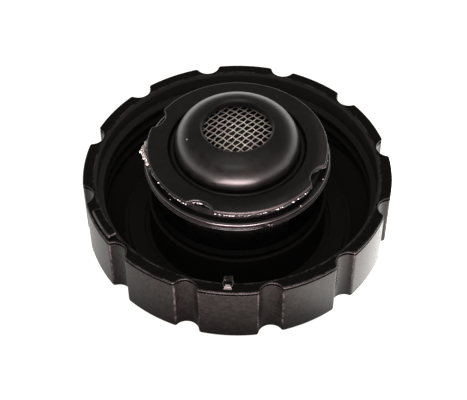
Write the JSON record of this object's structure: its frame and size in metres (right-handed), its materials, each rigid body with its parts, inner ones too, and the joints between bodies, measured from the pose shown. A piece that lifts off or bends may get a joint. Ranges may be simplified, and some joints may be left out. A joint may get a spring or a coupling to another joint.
{
  "type": "coolant tank pressure cap",
  "caption": "Large threaded black pressure cap with scalloped grip, turning valve insert, domed strainer inlet, pressure valve and vacuum valve.",
  "frame": {"origin": "middle of the flat crown that the cap lies on, as in the picture", "axes": "+Z along the cap's axis, from the crown up to the domed valve insert; -Y faces the picture's camera"},
  "size_m": [0.075, 0.075, 0.0353],
  "materials": {
    "knob_plastic": "black moulded plastic, satin, lightly scuffed on the outside",
    "insert_plastic": "black moulded plastic, smooth satin",
    "valve_plastic": "dark moulded plastic",
    "seal_rubber": "black rubber, dusty",
    "screen_steel": "bright drawn stainless wire",
    "spring_steel": "drawn spring wire"
  },
  "bodies": {
    "shell": {"cap_shell": "knob_plastic"},
    "insert": {"valve_carrier": "insert_plastic", "bore_seal": "seal_rubber", "valve_cover": "insert_plastic", "screen_mesh": "screen_steel", "screen_ring": "insert_plastic", "pressure_spring": "spring_steel"},
    "pressure_valve": {"pressure_plate": "valve_plastic", "pressure_seal": "seal_rubber", "vacuum_spring": "spring_steel"},
    "vacuum_valve": {"vacuum_poppet": "valve_plastic", "vacuum_clip": "spring_steel"}
  },
  "joints": [
    {"name": "insert_swivel", "type": "hinge", "parent": "shell", "child": "insert", "pos_m": [0, 0, 0.0118], "axis": [0, 0, 1], "continuous": true},
    {"name": "pressure_lift", "type": "slide", "parent": "insert", "child": "pressure_valve", "axis": [0, 0, -1], "range_m": [0, 0.003], "stiffness_N_per_m": 5000, "springref_m": -0.009, "deforming": ["pressure_spring"]},
    {"name": "vacuum_lift", "type": "slide", "parent": "pressure_valve", "child": "vacuum_valve", "axis": [0, 0, 1], "range_m": [0, 0.0012], "stiffness_N_per_m": 60, "springref_m": -0.002, "deforming": ["vacuum_spring"]}
  ]
}
